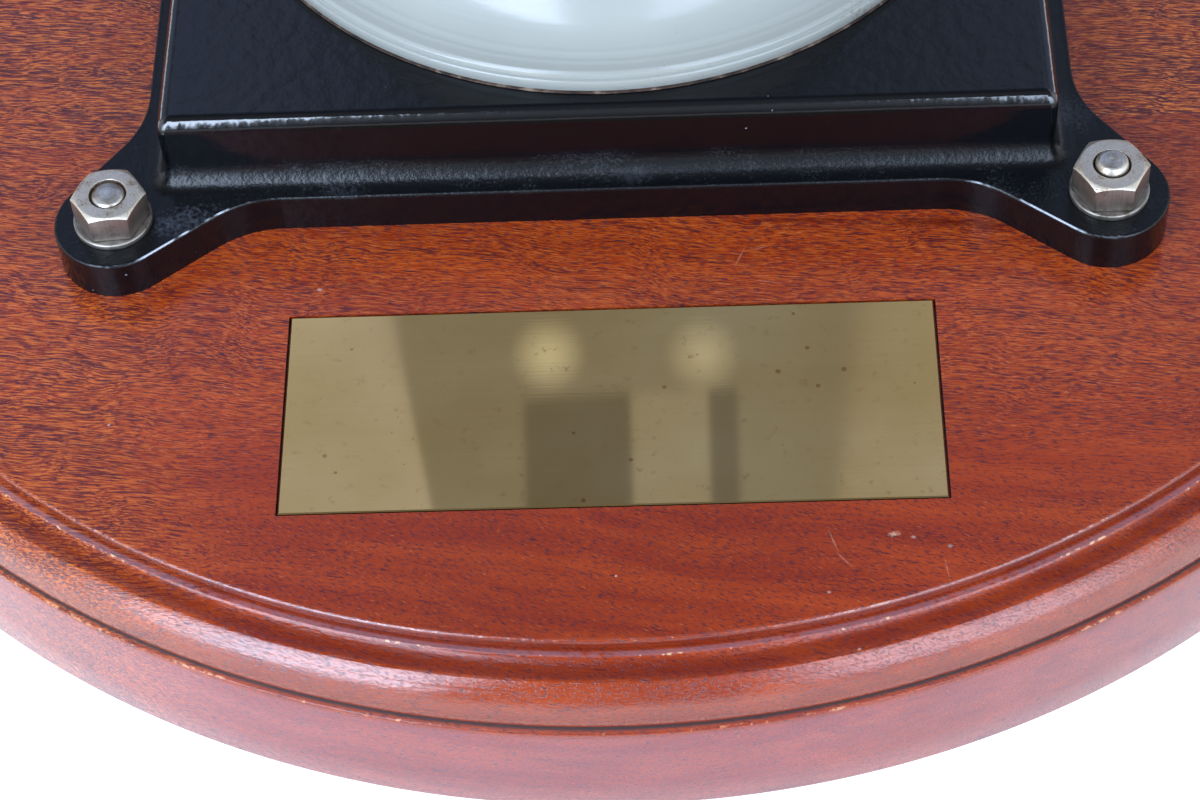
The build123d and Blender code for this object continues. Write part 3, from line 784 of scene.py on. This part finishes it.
# ---------------------------------------------------------------------------- column foot
def foot_profile():
    """Rim, small step, hollow sweep, neck, bead and socket of the column's foot."""
    neck, socket, seat = 38.5, 32.0, 27.0
    floor = foot_top - 18.0
    sweep_rise = 14.4
    sweep = ((0.0, 0.0), (0.2, 0.058), (0.525, 0.23), (0.79, 0.49), (1.0, 1.0))
    points = [(seat, foot_base), (foot_radius - 0.08, foot_base), (foot_radius, foot_base + 0.10),
              (foot_radius, foot_base + 1.38), (foot_radius - 0.06, foot_base + 1.58),
              (foot_radius - 0.20, foot_base + 1.69), (foot_radius - 0.38, foot_base + 1.70),
              (foot_radius - 0.49, foot_base + 1.78), (foot_radius - 0.51, foot_base + 2.12),
              (foot_radius - 0.56, foot_base + 2.30), (foot_radius - 0.68, foot_base + 2.42),
              (foot_radius - 0.82, foot_base + 2.50)]
    start = Vector((foot_radius - 0.9, foot_base + 2.6))
    knots = [Vector((start.x - inward * (start.x - neck), start.y + rise * sweep_rise))
             for inward, rise in sweep]
    # the curve's pull at each knot: set at both ends, and from its neighbours between them
    pulls = [Vector((-1, 0.22)).normalized() * 2.6]
    pulls += [(after - before) / 2 for before, after in zip(knots, knots[2:])]
    pulls += [Vector((-0.12, 1)).normalized() * 9]
    for knot, following, pull, next_pull in zip(knots, knots[1:], pulls, pulls[1:]):
        for step in range(16):
            t = step / 16
            spot = (knot * (2 * t**3 - 3 * t**2 + 1) + pull * (t**3 - 2 * t**2 + t)
                    + following * (3 * t**2 - 2 * t**3) + next_pull * (t**3 - t**2))
            # two shallow rings left by the lathe low on the sweep
            ripple = sum(0.05 * max(0.0, 1 - abs(spot.x - ring) / 0.35) for ring in (49.25, 48.1))
            points.append((spot.x, spot.y + ripple))
    points += [(neck, foot_base + 17.0), (neck, foot_top - 3.1)]
    points += bulged((neck + 0.1, foot_top - 3.0), (neck + 0.1, foot_top), -1.7, 14)
    points += [(neck - 0.3, foot_top), (socket + 0.3, foot_top), (socket, foot_top - 0.3),
               (socket, floor + 0.2), (socket - 0.2, floor), (seat + 0.2, floor),
               (seat, floor - 0.2), (seat, foot_base)]
    return points


close_up(turned(foot_profile(), 256, (0, bed_y)), "column_foot_turned", [foot_enamel],
         ["column_foot"], 40)


# ---------------------------------------------------------------------------- studs, nuts, washers
def hexagon_nut(spot, base, turn):
    """A full nut: a blank turned with its corners off at thirty degrees and its bore eased, then
    milled to six flats, with the burr taken off every edge."""
    half_flat, blank, crown, bore = 4.15, 4.95, 3.92, 2.30
    top = base + nut_height
    corner_drop = (blank - crown) * tan(radians(30))
    profile = [(bore, base + 0.3), (2.5, base), (3.85, base), (3.9, base + 0.13),
               (4.6, base + 0.15), (blank, base + 0.3), (blank, base + 2.0),
               (blank, top - corner_drop), (crown, top), (2.44, top), (2.38, top - 0.04),
               (2.34, top - 0.14), (bore, top - 0.5), (bore, base + 0.3)]
    bm = turned(profile, 120, spot)
    centre = Vector((spot[0] * MM, spot[1] * MM, 0))
    for side in range(6):
        angle = radians(turn + 30) + side * pi / 3
        facing = Vector((cos(angle), sin(angle), 0))
        slice_off(bm, centre + facing * half_flat * MM, facing)
    bmesh.ops.remove_doubles(bm, verts=bm.verts, dist=2e-6)
    bmesh.ops.recalc_face_normals(bm, faces=bm.faces)
    arrises = [e for e in bm.edges
               if len(e.link_faces) == 2 and e.calc_face_angle(0) > radians(24)
               and (e.verts[0].co.xy - centre.xy).length > 3.5 * MM]
    bmesh.ops.bevel(bm, geom=arrises, offset=0.07 * MM, offset_type="OFFSET", segments=2,
                    profile=0.5, affect="EDGES", material=-1, clamp_overlap=True)
    # the wall of the bore is the second material
    for face in bm.faces:
        if (face.calc_center_median().xy - centre.xy).length < (bore + 0.07) * MM:
            face.material_index = 1
    return bm


def stud(spot, end, domed):
    """A stud, its upper end domed, or flat faced with a centre drill's mark and a worn rim."""
    if domed:
        head = [(0.0, end), (0.5, end - 0.01), (1.0, end - 0.06), (1.4, end - 0.15),
                (1.75, end - 0.28), (1.98, end - 0.44), (2.14, end - 0.66)]
        neck = 2.20
    else:
        head = [(0.0, end - 0.16), (0.14, end - 0.14), (0.26, end - 0.03), (0.5, end - 0.01),
                (0.9, end - 0.03), (0.95, end - 0.06), (1.02, end - 0.04), (1.35, end - 0.08),
                (1.55, end - 0.14), (1.75, end - 0.28), (1.92, end - 0.50), (2.02, end - 0.74)]
        neck = 2.10
    rod = [(neck, end - 1.1), (neck, plinth_top + 7), (2.30, plinth_top + 6),
           (2.30, plinth_top - 4), (2.1, plinth_top - 5), (0.0, plinth_top - 5)]
    return turned(head + rod, 72, spot)


def washer(spot):
    """A flat washer with a rounded rim and a fine groove near it."""
    ring = [(2.5, 0.05), (2.6, 0.0), (4.78, 0.0), (4.94, 0.06), (5.0, 0.20), (5.0, 0.68),
            (4.95, 0.82), (4.82, 0.89), (4.6, 0.9), (4.55, 0.88), (4.48, 0.9), (2.6, 0.9),
            (2.5, 0.85), (2.5, 0.05)]
    return turned([(radius, flange_top + rise) for radius, rise in ring], 108, spot)


nut_turns = {"front_left": 4.5, "front_right": 0.6, "back_left": 22.0, "back_right": -14.0}
for corner, turn in nut_turns.items():
    stud_low, stud_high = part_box("stud_" + corner)
    spot = ((stud_low.x + stud_high.x) / 2 / MM, (stud_low.y + stud_high.y) / 2 / MM)
    close_up(hexagon_nut(spot, flange_top + washer_thickness, turn), "hexagon_nut_" + corner,
             [nut_steel, thread], ["nut_" + corner], 20)
    close_up(stud(spot, stud_high.z / MM, corner.endswith("left")), "stud_end_" + corner,
             [stud_steel], ["stud_" + corner], 50, spot)
    close_up(washer(spot), "flat_washer_" + corner,
             [washer_steel], ["washer_" + corner], 50, spot)


# ---------------------------------------------------------------------------- CAD nodes that stay
for node, material in (("bedplate", enamel), ("name_plate", brass), ("foot_joint", paper),
                       ("underside_baize", baize)):
    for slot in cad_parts[node].material_slots:
        slot.material = material


# ---------------------------------------------------------------------------- studio
def studio_floor():
    """A white sweep of paper. It shows white to the camera and in reflections, and keeps a
    shadow."""
    material = bpy.data.materials.new("white_paper_sweep")
    material.use_nodes = True
    tree = material.node_tree
    tree.nodes.clear()
    output = tree.nodes.new("ShaderNodeOutputMaterial")
    seen = add(tree, "LightPath")
    mirrored = add(tree, "Math",
                   {0: seen.outputs["Is Glossy Ray"], 1: seen.outputs["Is Transmission Ray"]},
                   operation="MAXIMUM")
    strength = add(tree, "Math", {0: seen.outputs["Is Camera Ray"], 1: 0.78, 2: mirrored},
                   operation="MULTIPLY_ADD")
    glow = add(tree, "Emission", {0: paint("#ffffff"), 1: strength})
    sheet = add(tree, "BsdfDiffuse", {0: paint("#cfcfd2")})
    tree.links.new(add(tree, "AddShader", {0: glow, 1: sheet}).outputs[0], output.inputs[0])
    bm = bmesh.new()
    bmesh.ops.create_grid(bm, x_segments=1, y_segments=1, size=6.0)
    mesh = bpy.data.meshes.new("floor")
    bm.to_mesh(mesh)
    bm.free()
    mesh.materials.append(material)
    floor = bpy.data.objects.new("floor", mesh)
    bpy.context.scene.collection.objects.link(floor)


def softbox(name, near_end, far_end, bottom, top, radiance):
    """An upright soft lamp between two points of the floor plan that faces the object."""
    (x0, y0), (x1, y1) = near_end, far_end
    width, height = hypot(x1 - x0, y1 - y0), top - bottom
    lamp = bpy.data.lights.new(name, "AREA")
    lamp.shape = "RECTANGLE"
    lamp.size = width
    lamp.size_y = height
    lamp.energy = radiance * pi * width * height
    lamp.color = (0.80, 0.98, 1.27)
    holder = bpy.data.objects.new(name, lamp)
    inward = Vector((y1 - y0, x0 - x1, 0)).normalized()
    if inward.y < 0:
        inward = -inward
    holder.location = ((x0 + x1) / 2, (y0 + y1) / 2, (bottom + top) / 2)
    holder.rotation_euler = inward.to_track_quat("-Z", "Y").to_euler()
    holder.visible_camera = False
    bpy.context.scene.collection.objects.link(holder)


def studio_walls():
    """A dim room, lighter at both sides and bluish behind the object. The camera sees it white.
    Places in it are written as parts of the direction that one looks in."""
    world = bpy.data.worlds.new("studio")
    world.use_nodes = True
    tree = world.node_tree
    tree.nodes.clear()
    output = tree.nodes.new("ShaderNodeOutputWorld")
    way = add(tree, "TexCoord").outputs["Generated"]
    x, y, z = add(tree, "SeparateXYZ", {0: way}).outputs
    side = add(tree, "Math", {0: x}, operation="ABSOLUTE")
    level = add(tree, "MapRange",
                {"Value": side, "From Min": 0.45, "From Max": 0.85, "To Min": 0.24, "To Max": 1.0},
                interpolation_type="SMOOTHSTEP")
    colour = add(tree, "VectorMath", {0: (0.92, 0.98, 1.08), 3: level}, operation="SCALE")
    # behind: light walls, and between them a dark opening that narrows upwards
    across = add(tree, "MapRange", {"Value": x, "From Min": -0.40, "From Max": 0.30})
    walls = add(tree, "ValToRGB", {0: across}, stops=[
        (0.00, (0.42, 0.50, 0.74, 1)), (0.30, (0.42, 0.52, 0.82, 1)), (0.50, (0.42, 0.52, 0.84, 1)),
        (0.60, (0.33, 0.39, 0.56, 1)), (1.00, (0.40, 0.48, 0.70, 1))])
    lean = add(tree, "Math", {0: z, 1: 0.30, 2: -0.2317}, operation="MULTIPLY_ADD")
    wide = add(tree, "Math", {0: x, 1: 0.023}, operation="ADD")
    wide = add(tree, "Math", {0: wide}, operation="ABSOLUTE")
    wide = add(tree, "Math", {0: wide, 1: lean}, operation="ADD")
    opening = add(tree, "MapRange", {"Value": wide, "From Min": 0.0757, "From Max": 0.0743})
    behind = add(tree, "Mix", {0: opening, 6: walls, 7: (0.20, 0.245, 0.36, 1)}, data_type="RGBA")
    # in the opening stands a darker post with a light line down it and two lamps over it
    high = add(tree, "MapRange", {"Value": z, "From Min": 0.7935, "From Max": 0.7955})
    for middle, half, tone in ((-0.024, 0.033, (0.10, 0.12, 0.19, 1)),
                               (-0.012, 0.012, (0.27, 0.33, 0.47, 1))):
        off = add(tree, "Math", {0: x, 1: -middle}, operation="ADD")
        off = add(tree, "Math", {0: off}, operation="ABSOLUTE")
        post = add(tree, "MapRange",
                   {"Value": off, "From Min": half + 0.0008, "From Max": half - 0.0008})
        post = add(tree, "Math", {0: post, 1: high}, operation="MULTIPLY")
        behind = add(tree, "Mix", {0: post, 6: behind, 7: tone}, data_type="RGBA")
    for spot, tone in (((-0.049, 0.6155, 0.7862), (0.62, 0.78, 1.10, 1)),
                       ((-0.0015, 0.6148, 0.7875), (0.46, 0.58, 0.82, 1))):
        near = add(tree, "VectorMath", {0: way, 1: spot}, operation="DISTANCE").outputs["Value"]
        lamp = add(tree, "MapRange", {"Value": near, "From Min": 0.012, "From Max": 0.002})
        behind = add(tree, "Mix", {0: lamp, 6: behind, 7: tone}, data_type="RGBA")
    low = add(tree, "MapRange",
              {"Value": z, "From Min": 0.775, "From Max": 0.745, "To Min": 1.0, "To Max": 1.75})
    lower = add(tree, "MapRange",
                {"Value": z, "From Min": 0.56, "From Max": 0.68, "To Min": 0.3, "To Max": 1.0})
    low = add(tree, "Math", {0: low, 1: lower}, operation="MULTIPLY")
    behind = add(tree, "VectorMath", {0: behind, 3: low}, operation="SCALE")
    back = add(tree, "MapRange", {"Value": y, "From Min": 0.38, "From Max": 0.50},
               interpolation_type="SMOOTHSTEP")
    colour = add(tree, "Mix", {0: back, 6: colour, 7: behind}, data_type="RGBA")
    ceiling = add(tree, "MapRange",
                  {"Value": z, "From Min": 0.82, "From Max": 0.92, "To Min": 1.0, "To Max": 0.5})
    colour = add(tree, "VectorMath", {0: colour, 3: ceiling}, operation="SCALE")
    seen = add(tree, "LightPath")
    shown = add(tree, "Mix", {0: seen.outputs["Is Camera Ray"], 6: colour, 7: paint("#ffffff")},
                data_type="RGBA")
    sky = add(tree, "Background", {0: shown, 1: 1.0})
    tree.links.new(sky.outputs[0], output.inputs[0])
    bpy.context.scene.world = world


studio_floor()
studio_walls()
softbox("left_softbox", (-0.105, -0.335), (-0.46, -0.443), 0.05, 0.70, 8.0)
softbox("left_reflector", (-0.46, -0.443), (-0.80, -0.546), 0.05, 0.70, 2.0)
softbox("right_softbox", (0.095, -0.335), (0.45, -0.443), 0.05, 0.66, 4.2)
softbox("right_reflector", (0.45, -0.443), (0.76, -0.537), 0.05, 0.66, 1.7)
bpy.context.scene.view_settings.view_transform = "Standard"
